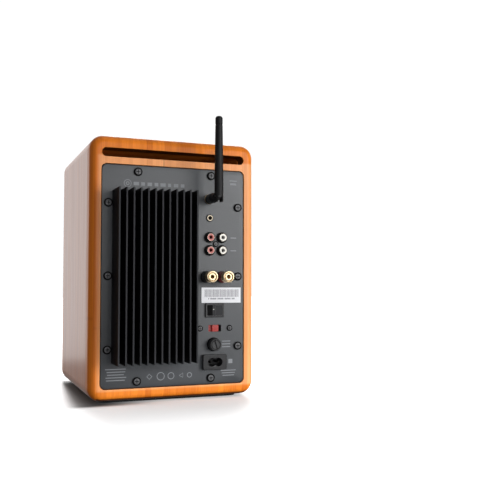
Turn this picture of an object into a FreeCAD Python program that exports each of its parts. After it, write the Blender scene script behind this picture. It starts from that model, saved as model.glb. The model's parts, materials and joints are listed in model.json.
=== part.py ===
"""Powered bookshelf loudspeaker with a built-in wireless audio receiver.

The frame: origin at the centre of the base pad's underside, +X to the right as seen from the
front, +Y towards the rear, +Z up. The front baffle faces -Y and the amplifier panel faces +Y.
All sizes are millimetres. Driving dimensions sit in the spreadsheet "dims"; every expression
in this file is written in its aliases.
"""

import FreeCAD
import Part

import math
import os
import re

import Sketcher

DIMENSIONS = (
    ("body_w", 178.0, "cabinet width"),
    ("body_d", 196.8, "cabinet depth, baffle face to rear face"),
    ("body_high", 270.5, "cabinet height above the base pad"),
    ("base_t", 2.5, "rubber base pad thickness"),
    ("base_w", 150.0, "rubber base pad width"),
    ("base_d", 172.0, "rubber base pad depth"),
    ("wall", 12.5, "thickness of the top, bottom and side boards"),
    ("baffle_t", 20.0, "front baffle thickness"),
    ("rear_t", 18.0, "rear board thickness"),
    ("corner_round", 14.0, "radius of the cabinet's long corners"),
    ("edge_round", 8.0, "round-over of the front and rear edges"),
    ("port_w", 154.4, "port slot width"),
    ("port_high", 9.4, "port slot height"),
    ("port_z", 255.7, "port slot centre height"),
    ("shelf_t", 6.0, "thickness of the shelf under the port duct"),
    ("duct_d", 118.0, "port duct length inside the rear board"),
    ("panel_w", 154.0, "amplifier panel width"),
    ("panel_high", 228.2, "amplifier panel height"),
    ("panel_z", 129.3, "amplifier panel centre height"),
    ("panel_t", 3.0, "amplifier panel thickness"),
    ("panel_round", 5.0, "amplifier panel corner radius"),
    ("panel_sink", 1.0, "depth of the panel's face below the rear face"),
    ("panel_gap", 0.7, "gap round the panel in its rebate"),
    ("opening_w", 128.0, "opening behind the panel, width"),
    ("opening_high", 202.0, "opening behind the panel, height"),
    ("screw_x", 70.4, "side screws from the centre line"),
    ("screw_dz", 74.6, "side screws from the panel's centre, up and down"),
    ("screw_top_x", 39.8, "top and bottom screws from the centre line"),
    ("screw_top_dz", 107.6, "top and bottom screws from the panel's centre"),
    ("screw_head", 4.1, "panel screw head radius"),
    ("screw_shank", 1.75, "panel screw shank radius"),
    ("pilot", 1.8, "pilot hole radius in the wood"),
    ("sink_left", -15.5, "heatsink, lowest X"),
    ("sink_w", 81.6, "heatsink width"),
    ("sink_low", 40.9, "heatsink, lowest Z"),
    ("sink_high", 175.7, "heatsink height"),
    ("sink_out", 32.8, "heatsink depth from the panel's face"),
    ("sink_base", 4.0, "heatsink base thickness"),
    ("fin_t", 1.6, "fin thickness"),
    ("fin_count", 12.0, "number of fins"),
    ("aerial_x", -38.0, "antenna socket X"),
    ("aerial_z", 211.8, "antenna socket Z"),
    ("aerial_out", 30.8, "antenna hinge pin from the panel's face"),
    ("whip_long", 83.5, "antenna whip above its hinge pin"),
    ("whip_foot", 4.65, "whip radius at its foot"),
    ("whip_tip", 3.85, "whip radius near its tip"),
    ("tongue_t", 4.0, "thickness of the knuckle's tongue"),
    ("hinge_pin", 1.0, "antenna hinge pin radius"),
    ("aux_x", -38.6, "3.5 mm socket X"),
    ("aux_z", 191.6, "3.5 mm socket Z"),
    ("aux_bore", 1.8, "3.5 mm socket bore radius"),
    ("phono_x", -45.2, "phono socket block centre X"),
    ("phono_z", 163.9, "phono socket block centre Z"),
    ("phono_pitch", 13.8, "phono socket spacing"),
    ("phono_out", 5.4, "phono sleeve length from the panel's face"),
    ("phono_sleeve", 4.15, "phono sleeve radius"),
    ("phono_contact", 1.6, "phono centre contact bore radius"),
    ("phono_collar", 5.7, "phono collar radius"),
    ("post_x", -43.35, "binding post pair centre X"),
    ("post_z", 128.5, "binding post Z"),
    ("post_pitch", 18.0, "binding post spacing"),
    ("post_out", 22.5, "binding post length from the panel's face"),
    ("post_round", 6.1, "binding post cap radius"),
    ("stud_round", 3.9, "binding post stud radius"),
    ("banana", 2.0, "4 mm plug bore radius"),
    ("label_w", 44.5, "serial label width"),
    ("label_high", 16.3, "serial label height"),
    ("label_x", -51.85, "serial label centre X"),
    ("label_z", 109.1, "serial label centre Z"),
    ("switch_x", -44.1, "power switch centre X"),
    ("switch_z", 93.1, "power switch centre Z"),
    ("switch_w", 21.3, "power switch bezel width"),
    ("switch_high", 15.0, "power switch bezel height"),
    ("switch_out", 2.0, "power switch bezel thickness"),
    ("rocker_w", 16.4, "rocker width"),
    ("rocker_high", 10.8, "rocker height"),
    ("rocker_tilt", 13.0, "rocker tilt from its middle position, degrees"),
    ("selector_x", -44.6, "voltage selector centre X"),
    ("selector_z", 73.9, "voltage selector centre Z"),
    ("window_w", 14.1, "selector window width"),
    ("window_high", 7.3, "selector window height"),
    ("slider_w", 10.8, "selector slider width"),
    ("selector_pitch", 33.2, "selector screw spacing"),
    ("fuse_x", -43.0, "fuse holder X"),
    ("fuse_z", 56.9, "fuse holder Z"),
    ("fuse_flange", 7.3, "fuse holder flange radius"),
    ("fuse_cap_round", 6.3, "fuse cap radius"),
    ("fuse_cap_out", 8.6, "fuse cap front from the panel's face"),
    ("inlet_x", -43.4, "mains inlet centre X"),
    ("inlet_z", 38.4, "mains inlet centre Z"),
    ("inlet_w", 26.8, "mains inlet bezel width"),
    ("inlet_high", 16.2, "mains inlet bezel height"),
    ("inlet_out", 5.2, "mains inlet bezel thickness"),
    ("inlet_lobe", 4.6, "mains inlet recess lobe radius"),
    ("woofer_z", 100.0, "woofer centre height"),
    ("woofer_flange", 66.0, "woofer flange radius"),
    ("tweeter_z", 207.0, "tweeter centre height"),
    ("tweeter_flange", 28.0, "tweeter faceplate radius"),
    ("knob_x", -66.0, "volume knob X"),
    ("knob_z", 26.0, "volume knob Z"),
    ("knob_round", 10.5, "volume knob radius"),
    ("knob_out", 15.0, "volume knob length"),
    ("lamp_x", -42.0, "status lamp X"),
)
ALIASES = {alias for alias, _, _ in DIMENSIONS}

doc = FreeCAD.newDocument("powered_speaker")
sheet = doc.addObject("Spreadsheet::Sheet", "dims")
for row, (alias, value, meaning) in enumerate(DIMENSIONS, start=1):
    sheet.set(f"A{row}", meaning)
    sheet.set(f"B{row}", str(value))
    sheet.setAlias(f"B{row}", alias)
doc.recompute()

# Places worked out from the sheet, as expressions.
FRONT = "(-body_d/2)"
REAR = "(body_d/2)"
WOOD_LOW = "base_t"
WOOD_TOP = "(base_t+body_high)"
FACE = "(body_d/2-panel_sink)"
PANEL_BACK = "(body_d/2-panel_sink-panel_t)"
CAVITY_W = "(body_w-2*wall)"
DIAGONAL = "(1-sqrt(0.5))"

parts = []


# ---------------------------------------------------------------- helpers


def bound(expression):
    """The expression with each spreadsheet alias written as dims.alias."""
    def prefix(found):
        word = found.group(0)
        return "dims." + word if word in ALIASES else word

    return re.sub(r"[A-Za-z_]\w*", prefix, str(expression))


def size(expression):
    """The expression's present value, as FreeCAD works it out."""
    return float(sheet.evalExpression(bound(expression)))


def keep(thing, name):
    """Makes thing the sub-part called name."""
    thing.Label = name
    parts.append(thing)
    return thing


def place(thing, x="0", y="0", z="0"):
    """Binds the sub-part's Placement to the sheet."""
    for axis, expression in (("x", x), ("y", y), ("z", z)):
        thing.setExpression(f"Placement.Base.{axis}", bound(expression))
    return thing


def new_body(name):
    return keep(doc.addObject("PartDesign::Body", name + "_body"), name)


def fix_point(sketch, geometry, end, x, y, tag):
    """Holds one point of a sketch at (x, y), which are expressions."""
    for kind, axis, expression, word in (
        ("DistanceX", -2, x, "across"),
        ("DistanceY", -1, y, "up"),
    ):
        value = size(expression)
        if abs(value) < 1e-9:
            sketch.addConstraint(Sketcher.Constraint("PointOnObject", geometry, end, axis))
            continue
        index = sketch.addConstraint(Sketcher.Constraint(kind, -1, 1, geometry, end, value))
        sketch.renameConstraint(index, f"{word}_{tag}")
        sketch.setExpression(f"Constraints.{word}_{tag}", bound(expression))


def fix_radius(sketch, geometry, expression, tag):
    index = sketch.addConstraint(Sketcher.Constraint("Radius", geometry, size(expression)))
    sketch.renameConstraint(index, f"bend_{tag}")
    sketch.setExpression(f"Constraints.bend_{tag}", bound(expression))


def draw_circle(sketch, x, y, radius):
    middle = FreeCAD.Vector(size(x), size(y), 0)
    circle = Part.Circle(middle, FreeCAD.Vector(0, 0, 1), size(radius))
    geometry = sketch.addGeometry(circle)
    fix_point(sketch, geometry, 3, x, y, geometry)
    fix_radius(sketch, geometry, radius, geometry)


def draw_outline(sketch, corners):
    """Draws a closed outline. A corner is (x, y), or (x, y, radius, side) where the run to the
    next corner is an arc whose centre lies left (side 1) or right (side -1) of that run."""
    points = [FreeCAD.Vector(size(c[0]), size(c[1]), 0) for c in corners]
    runs = []
    for number, corner in enumerate(corners):
        start, finish = points[number], points[(number + 1) % len(points)]
        if len(corner) == 2:
            runs.append((sketch.addGeometry(Part.LineSegment(start, finish)), 1, 2))
            continue
        radius, side = size(corner[2]), corner[3]
        chord = finish - start
        rise = math.sqrt(max(radius**2 - chord.Length**2 / 4, 0))
        left = FreeCAD.Vector(-chord.y, chord.x, 0).normalize()
        centre = (start + finish) * 0.5 + left * (side * rise)
        circle = Part.Circle(centre, FreeCAD.Vector(0, 0, 1), radius)
        first, last = (start, finish) if side > 0 else (finish, start)
        angles = [math.atan2(p.y - centre.y, p.x - centre.x) for p in (first, last)]
        if angles[1] < angles[0]:
            angles[1] += 2 * math.pi
        geometry = sketch.addGeometry(Part.ArcOfCircle(circle, *angles))
        runs.append((geometry, 1, 2) if side > 0 else (geometry, 2, 1))
    for number, corner in enumerate(corners):
        geometry, begin, end = runs[number]
        following = runs[(number + 1) % len(runs)]
        joint = Sketcher.Constraint("Coincident", geometry, end, following[0], following[1])
        sketch.addConstraint(joint)
        fix_point(sketch, geometry, begin, corner[0], corner[1], geometry)
        if len(corner) > 2:
            fix_radius(sketch, geometry, corner[2], geometry)


def rectangle(x, y, width, height, radius=None):
    """Corners of a rectangle about (x, y), with rounded corners where a radius is given."""
    half_w, half_h = f"({width})/2", f"({height})/2"
    if radius is None:
        return [
            (f"{x}-{half_w}", f"{y}-{half_h}"),
            (f"{x}+{half_w}", f"{y}-{half_h}"),
            (f"{x}+{half_w}", f"{y}+{half_h}"),
            (f"{x}-{half_w}", f"{y}+{half_h}"),
        ]
    return [
        (f"{x}-{half_w}+{radius}", f"{y}-{half_h}"),
        (f"{x}+{half_w}-{radius}", f"{y}-{half_h}", radius, 1),
        (f"{x}+{half_w}", f"{y}-{half_h}+{radius}"),
        (f"{x}+{half_w}", f"{y}+{half_h}-{radius}", radius, 1),
        (f"{x}+{half_w}-{radius}", f"{y}+{half_h}"),
        (f"{x}-{half_w}+{radius}", f"{y}+{half_h}", radius, 1),
        (f"{x}-{half_w}", f"{y}+{half_h}-{radius}"),
        (f"{x}-{half_w}", f"{y}-{half_h}+{radius}", radius, 1),
    ]


def polygon(sides, radius, turn=0.0):
    """Corners of a regular polygon about the origin."""
    step = 2 * math.pi / sides
    return [
        (f"{radius}*{math.cos(turn + n * step):.9f}", f"{radius}*{math.sin(turn + n * step):.9f}")
        for n in range(sides)
    ]


def cross(length, width):
    """Corners of a plus sign about the origin, for a cross recess."""
    far, near = f"({length})/2", f"({width})/2"
    return [
        (far, f"-{near}"), (far, near), (near, near), (near, far),
        (f"-{near}", far), (f"-{near}", near), (f"-{far}", near), (f"-{far}", f"-{near}"),
        (f"-{near}", f"-{near}"), (f"-{near}", f"-{far}"), (near, f"-{far}"), (near, f"-{near}"),
    ]


# Each origin plane's sketch normal along its own axis: the XZ plane's points along -Y.
NORMALS = {"XY_Plane": 1, "XZ_Plane": -1, "YZ_Plane": 1}


def draw(body, outlines, plane, level):
    """A sketch on one of the body's origin planes, shifted to level along the plane's axis.
    An outline is a list of corners, or a tuple (x, y, radius) for a circle."""
    sketch = body.newObject("Sketcher::SketchObject", "sketch")
    support = [f for f in body.Origin.OriginFeatures if f.Role == plane][0]
    sketch.AttachmentSupport = [(support, "")]
    sketch.MapMode = "FlatFace"
    shift = f"{NORMALS[plane]}*({level})"
    sketch.setExpression("AttachmentOffset.Base.z", bound(shift))
    for outline in outlines:
        if isinstance(outline, tuple):
            draw_circle(sketch, *outline)
        else:
            draw_outline(sketch, outline)
    return sketch


def extrude(body, outlines, length, level="0", toward=1, plane="XZ_Plane", both=False):
    """Pads the outlines from level, towards plus (1) or minus (-1) along the plane's axis."""
    pad = body.newObject("PartDesign::Pad", "pad")
    pad.Profile = draw(body, outlines, plane, level)
    pad.setExpression("Length", bound(length))
    if both:
        pad.SideType = "Symmetric"
    else:
        pad.Reversed = toward != NORMALS[plane]
    doc.recompute()
    return pad


def carve(body, outlines, length, level="0", toward=1, plane="XZ_Plane", both=False):
    """Pockets the outlines from level, and stops if nothing was cut."""
    before = body.Shape.Volume
    pocket = body.newObject("PartDesign::Pocket", "pocket")
    pocket.Profile = draw(body, outlines, plane, level)
    pocket.setExpression("Length", bound(length))
    if both:
        pocket.SideType = "Symmetric"
    else:
        pocket.Reversed = toward == NORMALS[plane]
    doc.recompute()
    if body.Shape.Volume > before - 1e-3:
        raise RuntimeError(f"a pocket in {body.Label} cut nothing")
    return pocket


def soften(body, kind, radius, chosen):
    """A Fillet or Chamfer on the edges that chosen accepts."""
    base = body.Tip
    edges = base.Shape.Edges
    names = [f"Edge{n}" for n, edge in enumerate(edges, start=1) if chosen(edge)]
    if not names:
        raise RuntimeError(f"no edge to soften on {body.Label}")
    feature = body.newObject(f"PartDesign::{kind}", kind.lower())
    feature.Base = (base, names)
    feature.setExpression("Radius" if kind == "Fillet" else "Size", bound(radius))
    doc.recompute()
    return feature


def flat_at(level):
    """Chooses edges that lie wholly in the plane Y = level."""
    y = size(level)
    return lambda edge: abs(edge.BoundBox.YMin - y) < 1e-4 and abs(edge.BoundBox.YMax - y) < 1e-4


def turned(body, corners, axis="Y"):
    """Revolves an outline of (radius, distance along the axis) corners."""
    plane = "XY_Plane" if axis == "Y" else "XZ_Plane"
    sketch = draw(body, [corners], plane, "0")
    revolution = body.newObject("PartDesign::Revolution", "revolution")
    revolution.Profile = sketch
    revolution.ReferenceAxis = (sketch, ["V_Axis"])
    revolution.Angle = 360
    doc.recompute()
    return revolution


def turned_part(name, corners, x="0", y="0", z="0"):
    body = new_body(name)
    turned(body, corners)
    return place(body, x, y, z)


def repeat(body, feature, kind, axis, count, extent):
    """Repeats a feature along (LinearPattern) or round (PolarPattern) an axis."""
    pattern = body.newObject(f"PartDesign::{kind}", "pattern")
    pattern.Originals = [feature]
    if kind == "LinearPattern":
        pattern.Direction = axis
        pattern.setExpression("Length", bound(extent))
    else:
        pattern.Axis = axis
        pattern.Angle = extent
    pattern.Occurrences = count
    body.Tip = pattern
    doc.recompute()
    return pattern


def block(name, width, depth, height, x, y, z):
    """A Part::Box about (x, z), from y to y + depth."""
    box = keep(doc.addObject("Part::Box", name + "_box"), name)
    for prop, expression in (("Length", width), ("Width", depth), ("Height", height)):
        box.setExpression(prop, bound(expression))
    return place(box, f"{x}-({width})/2", y, f"{z}-({height})/2")


def scattered(name, master, spots):
    """One sub-part of separate, identical solids: master's shape at each (x, z) spot."""
    doc.recompute()
    shapes = []
    for x, z in spots:
        shape = master.Shape.copy()
        shape.translate(FreeCAD.Vector(size(x), 0, size(z)))
        shapes.append(shape)
    group = keep(doc.addObject("Part::Feature", name + "_group"), name)
    group.Shape = Part.makeCompound(shapes)
    return group


def master_body(name):
    """A body that is only copied, and isn't a sub-part itself."""
    body = doc.addObject("PartDesign::Body", name)
    body.Label = name
    return body


# ---------------------------------------------------------------- cabinet


def side_outline(sign):
    """Mitred section of a side board, seen along Y. sign is 1 on +X and -1 on -X."""
    inner, outer = f"{sign}*(body_w/2-wall)", f"{sign}*body_w/2"
    cut = f"{sign}*(body_w/2-corner_round*{DIAGONAL})"
    return [
        (inner, f"{WOOD_LOW}+wall"),
        (inner, f"{WOOD_TOP}-wall"),
        (cut, f"{WOOD_TOP}-corner_round*{DIAGONAL}", "corner_round", -sign),
        (outer, f"{WOOD_TOP}-corner_round"),
        (outer, f"{WOOD_LOW}+corner_round", "corner_round", -sign),
        (cut, f"{WOOD_LOW}+corner_round*{DIAGONAL}"),
    ]


def deck_outline(sign):
    """Mitred section of the top (sign 1) or bottom (sign -1) board, seen along Y."""
    edge = WOOD_TOP if sign > 0 else WOOD_LOW
    inner = f"{edge}-{sign}*wall"
    cut_z = f"{edge}-{sign}*corner_round*{DIAGONAL}"
    cut_x = f"(body_w/2-corner_round*{DIAGONAL})"
    return [
        (f"-({CAVITY_W})/2", inner),
        (f"-{cut_x}", cut_z, "corner_round", -sign),
        ("-(body_w/2-corner_round)", edge),
        ("body_w/2-corner_round", edge, "corner_round", -sign),
        (cut_x, cut_z),
        (f"({CAVITY_W})/2", inner),
    ]


def make_ring_boards():
    """Top, bottom and side boards, mitred at the four long corners."""
    for name, outline in (
        ("top_board", deck_outline(1)),
        ("bottom_board", deck_outline(-1)),
        ("side_board_right", side_outline(1)),
        ("side_board_left", side_outline(-1)),
    ):
        board = new_body(name)
        extrude(board, [outline], "body_d-baffle_t-rear_t", f"{FRONT}+baffle_t")


def cabinet_face():
    return rectangle("0", f"{WOOD_LOW}+body_high/2", "body_w", "body_high", "corner_round")


def make_front_baffle():
    baffle = new_body("front_baffle")
    extrude(baffle, [cabinet_face()], "baffle_t", FRONT)
    soften(baffle, "Fillet", "edge_round", flat_at(FRONT))
    carve(baffle, [("0", "woofer_z", "woofer_flange+0.3")], "4.7", FRONT)
    carve(baffle, [("0", "tweeter_z", "tweeter_flange+0.3")], "3.1", FRONT)
    through = [
        ("0", "woofer_z", "58.5"),
        ("0", "tweeter_z", "19"),
        ("knob_x", "knob_z", "3.7"),
        ("lamp_x", "knob_z", "1.6"),
    ]
    carve(baffle, through, "baffle_t+2", f"{FRONT}-1")
    carve(baffle, [("knob_x", "knob_z", "9")], "15", f"{FRONT}+baffle_t", toward=-1)
    pilots = [(x, z, "pilot") for x, z in woofer_screw_spots()]
    carve(baffle, pilots, "13", f"{FRONT}+4")


def panel_screw_spots():
    spots = []
    for side in ("-", ""):
        spots += [(f"{side}screw_x", f"panel_z+{n}*screw_dz") for n in (-1, 0, 1)]
        spots += [(f"{side}screw_top_x", f"panel_z+{n}*screw_top_dz") for n in (-1, 1)]
    return spots


def make_rear_board():
    board = new_body("rear_board")
    extrude(board, [cabinet_face()], "rear_t", f"{REAR}-rear_t")
    soften(board, "Fillet", "edge_round", flat_at(REAR))
    rebate = rectangle(
        "0", "panel_z", "panel_w+2*panel_gap", "panel_high+2*panel_gap", "(panel_round+panel_gap)"
    )
    carve(board, [rebate], "panel_sink+panel_t", REAR, toward=-1)
    opening = rectangle("0", "panel_z", "opening_w", "opening_high", "8")
    slot = rectangle("0", "port_z", "port_w", "port_high", "(port_high*0.49)")
    carve(board, [opening, slot], "rear_t+2", f"{REAR}+1", toward=-1)
    pilots = [(x, z, "pilot") for x, z in panel_screw_spots()]
    carve(board, pilots, "12.5", PANEL_BACK, toward=-1)


def make_port_shelf():
    """Board under the duct that leads from the cabinet's air to the rear slot."""
    block(
        "port_shelf", CAVITY_W, "duct_d", "shelf_t",
        "0", f"{REAR}-rear_t-duct_d", "(port_z-port_high/2-shelf_t/2)",
    )


def make_base_pad():
    pad = new_body("base_pad")
    outline = rectangle("0", "0", "base_w", "base_d", "12")
    extrude(pad, [outline], "base_t", plane="XY_Plane")


# ---------------------------------------------------------------- woofer


def woofer_part(name, corners):
    """A turned woofer piece. Corner heights count rearwards from the baffle's face."""
    return turned_part(name, corners, "0", FRONT, "woofer_z")


def woofer_screw_spots():
    reach = "(woofer_flange-4.6)*sqrt(0.5)"
    return [
        (f"{a}{reach}", f"woofer_z{b}{reach}") for a in ("", "-") for b in ("+", "-")
    ]


def make_woofer_basket():
    basket = woofer_part("woofer_basket", [
        ("58.2", "0"), ("woofer_flange", "0"), ("woofer_flange", "4.6"), ("57.6", "4.6"),
        ("56.8", "10"), ("46", "37"), ("46", "44"), ("18", "44"), ("18", "41.4"),
        ("35.5", "41.4"), ("35.5", "33.6"), ("41.5", "33.6"), ("44.2", "33"),
        ("54.9", "9.5"), ("54.9", "2.6"), ("58.2", "2.6"),
    ])
    window = [("39", "-13.5"), ("60", "-22"), ("60", "22"), ("39", "13.5")]
    cut = carve(basket, [window], "21.5", "11")
    repeat(basket, cut, "PolarPattern", (cut.Profile[0], ["N_Axis"]), 6, 360)
    spots = [
        (f"{a}(woofer_flange-4.6)*sqrt(0.5)", f"{b}(woofer_flange-4.6)*sqrt(0.5)", "2.1")
        for a in ("", "-") for b in ("", "-")
    ]
    carve(basket, spots, "8", "-1")
    return basket


def make_woofer_surround():
    """Half-roll rubber ring with a glue lip on each side."""
    roll, bead, gauge, lip = "51.9", "3.3", "0.8", "2.6"
    woofer_part("woofer_surround", [
        ("46.4", lip), ("46.4", f"{lip}-{gauge}"),
        (f"{roll}-{bead}+0.05", f"{lip}-{gauge}", "3.36", 1),
        (roll, f"{lip}-{bead}", "3.36", 1),
        (f"{roll}+{bead}-0.05", f"{lip}-{gauge}"),
        ("58", f"{lip}-{gauge}"), ("58", lip),
        (f"{roll}+{bead}-{gauge}", lip, "2.56", -1),
        (roll, f"{lip}-{bead}+{gauge}", "2.56", -1),
        (f"{roll}-{bead}+{gauge}", lip),
    ])


def make_woofer_cone():
    woofer_part("woofer_cone", [
        ("13.5", "24.6", "118", 1), ("46.6", "2.65"), ("48.7", "2.65"), ("48.7", "3.4"),
        ("46.9", "3.4", "118", -1), ("13.5", "25.6"),
    ])


def make_woofer_dust_cap():
    """Spherical cap of 24 mm radius whose centre is 38.3 mm behind the baffle's face."""
    centre, outer, inner, rim = "38.3", "24", "23.4", "17"
    drop = f"sqrt({outer}^2-{rim}^2)"
    woofer_part("woofer_dust_cap", [
        ("0", f"{centre}-{outer}", outer, 1),
        (rim, f"{centre}-{drop}"),
        (f"sqrt({inner}^2-{outer}^2+{rim}^2)", f"{centre}-{drop}", inner, -1),
        ("0", f"{centre}-{inner}"),
    ])


def make_woofer_spider():
    """Corrugated disc that centres the voice coil: a zigzag section of even gauge."""
    first, pitch, waves = 16.5, 2.1, 10
    high, low, gauge = 31.2, 33.0, 0.6
    top = [("13.5", f"{low}"), ("15.5", f"{low}")]
    for n in range(waves):
        top.append((f"{first + n * pitch:.2f}", f"{high if n % 2 == 0 else low}"))
    top.append(("41.2", f"{low}"))
    under = [(x, f"{y}+{gauge}") for x, y in reversed(top)]
    woofer_part("woofer_spider", top + under)


def make_woofer_motor():
    """Voice coil on its former, and the steel and ferrite that it runs in."""
    woofer_part("woofer_voice_coil", [
        ("13", "22"), ("13.4", "22"), ("13.4", "40"), ("14", "40"), ("14", "51"), ("13", "51"),
    ])
    woofer_part("woofer_top_plate", [
        ("14.8", "44"), ("44.5", "44"), ("45", "44.5"), ("45", "49"), ("14.8", "49"),
    ])
    woofer_part("woofer_magnet", [
        ("22", "49"), ("45.5", "49"), ("46.5", "50"), ("46.5", "65"), ("45.5", "66"), ("22", "66"),
    ])
    woofer_part("woofer_yoke", [
        ("0", "44"), ("12.4", "44"), ("12.4", "66"), ("45", "66"), ("45", "70"), ("44", "71"),
        ("0", "71"),
    ])


def make_woofer_screws():
    """Countersunk socket screws in the woofer's flange."""
    master = master_body("woofer_screw")
    turned(master, [
        ("0", f"{FRONT}-0.4"), ("3", f"{FRONT}-0.4"), ("3.4", f"{FRONT}"), ("2", f"{FRONT}"),
        ("2", f"{FRONT}+4.6"), ("screw_shank", f"{FRONT}+4.6"), ("screw_shank", f"{FRONT}+14"),
        ("0", f"{FRONT}+16"),
    ])
    carve(master, [polygon(6, "1.5")], "2", f"{FRONT}-1")
    scattered("woofer_screws", master, woofer_screw_spots())


# ---------------------------------------------------------------- tweeter


def tweeter_part(name, corners):
    return turned_part(name, corners, "0", FRONT, "tweeter_z")


def make_tweeter():
    tweeter_part("tweeter_faceplate", [
        ("13.4", "3"), ("13.4", "2.4", "9", -1), ("19", "0.4"), ("25", "0"),
        ("tweeter_flange-0.6", "0"), ("tweeter_flange", "0.6"), ("tweeter_flange", "3"),
    ])
    # Dome of 15 mm sphere radius, its small surround roll and the coil former behind it.
    tweeter_part("tweeter_dome", [
        ("0", "0", "15", 1), ("10.2", "15-sqrt(15^2-10.2^2)", "1.45", 1), ("12.7", "4"),
        ("12.3", "4.3"), ("10.2", "4.3"), ("10.2", "8.6"), ("9.9", "8.6"),
        ("9.9", "15-sqrt(14.7^2-9.9^2)", "14.7", -1), ("0", "0.3"),
    ])
    tweeter_part("tweeter_motor", [
        ("0", "5.6"), ("9.3", "5.6"), ("9.3", "11.5"), ("10.9", "11.5"), ("10.9", "5.2"),
        ("17", "5.2"), ("17", "3"), ("18", "3"), ("18", "22"), ("17", "23"), ("0", "23"),
    ])


# ---------------------------------------------------------------- front controls


def make_volume_control():
    """Knob on its shaft, and the potentiometer behind the baffle's thinned web."""
    place_at = ("knob_x", FRONT, "knob_z")
    knob = turned_part("volume_knob", [
        ("3.02", "-1"), ("knob_round-0.4", "-1"), ("knob_round", "-1.4"),
        ("knob_round", "-knob_out+1.2", "1.2", -1), ("knob_round-1.2", "-knob_out"),
        ("0", "-knob_out"), ("0", "-12"), ("3.02", "-12"),
    ], *place_at)
    carve(knob, [rectangle("0", "knob_round-3.6", "1.1", "4.4")], "1.5", "-knob_out-1")
    turned_part("volume_shaft", [
        ("0", "-11.8"), ("3", "-11.8"), ("3", "14"), ("0", "14"),
    ], *place_at)
    turned_part("volume_pot", [
        ("3.06", "0.4"), ("3.6", "0.4"), ("3.6", "5.1"), ("8.5", "5.1"), ("8.5", "15"),
        ("0", "15"), ("0", "14.2"), ("3.06", "14.2"),
    ], *place_at)


def make_status_lamp():
    turned_part("status_led", [
        ("0", "-0.5"), ("1", "-0.5"), ("1.5", "0"), ("1.5", "14"), ("0", "14"),
    ], "lamp_x", FRONT, "knob_z")


# ---------------------------------------------------------------- amplifier module


def phono_spots():
    half = "phono_pitch/2"
    return [
        (f"phono_x{a}{half}", f"phono_z{b}{half}") for a in ("+", "-") for b in ("+", "-")
    ]


def post_spots():
    return [("post_x+post_pitch/2", "post_z"), ("post_x-post_pitch/2", "post_z")]


def small_screw_spots():
    return [
        ("selector_x+selector_pitch/2", "selector_z"),
        ("selector_x-selector_pitch/2", "selector_z"),
        ("phono_x", "phono_z"),
    ]


def make_amp_panel():
    panel = new_body("amp_panel")
    plate = rectangle("0", "panel_z", "panel_w", "panel_high", "panel_round")
    extrude(panel, [plate], "panel_t", PANEL_BACK)
    soften(panel, "Chamfer", "0.5", flat_at(FACE))
    holes = [(x, z, "2.1") for x, z in panel_screw_spots()]
    holes += [(x, z, "1.6") for x, z in small_screw_spots()]
    holes += [(x, z, "phono_collar+0.1") for x, z in phono_spots()]
    holes += [(x, z, "4.6") for x, z in post_spots()]
    holes += [
        ("aerial_x", "aerial_z", "3.2"),
        ("aux_x", "aux_z", "3.1"),
        ("fuse_x", "fuse_z", "6.2"),
        rectangle("switch_x", "switch_z", "19.2", "13.2"),
        rectangle("selector_x", "selector_z", "window_w", "window_high", "0.8"),
        rectangle("inlet_x", "inlet_z", "22.2", "12.2"),
    ]
    carve(panel, holes, "panel_t+2", f"{FACE}+1", toward=-1)


def make_panel_screws():
    """Pan-head wood screws with a cross recess."""
    master = master_body("panel_screw")
    turned(master, [
        ("0", f"{FACE}-15"), ("screw_shank", f"{FACE}-12"), ("screw_shank", FACE),
        ("screw_head", FACE), ("screw_head", f"{FACE}+0.5", "2.6", 1),
        ("screw_head-1.5", f"{FACE}+1.9"), ("0", f"{FACE}+2.1"),
    ])
    carve(master, [cross("4.4", "1")], "2.4", f"{FACE}+3", toward=-1)
    scattered("panel_screws", master, panel_screw_spots())


def make_small_screws():
    master = master_body("small_screw")
    turned(master, [
        ("0", f"{FACE}-7"), ("1.5", f"{FACE}-6"), ("1.5", FACE), ("2.8", FACE),
        ("2.8", f"{FACE}+0.3", "2", 1), ("1.8", f"{FACE}+1.3"), ("0", f"{FACE}+1.4"),
    ])
    carve(master, [cross("3", "0.7")], "1.8", f"{FACE}+2.2", toward=-1)
    scattered("small_screws", master, small_screw_spots())


def make_heatsink():
    """Extruded aluminium base with upright fins."""
    heatsink = new_body("heatsink")
    middle_z = "sink_low+sink_high/2"
    base = rectangle("sink_left+sink_w/2", middle_z, "sink_w", "sink_high")
    extrude(heatsink, [base], "sink_base", FACE)
    fin = extrude(
        heatsink, [rectangle("sink_left+fin_t/2", middle_z, "fin_t", "sink_high")],
        "sink_out-sink_base", f"{FACE}+sink_base",
    )
    count = int(size("fin_count"))
    repeat(heatsink, fin, "LinearPattern", (fin.Profile[0], ["H_Axis"]), count, "sink_w-fin_t")


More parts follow.
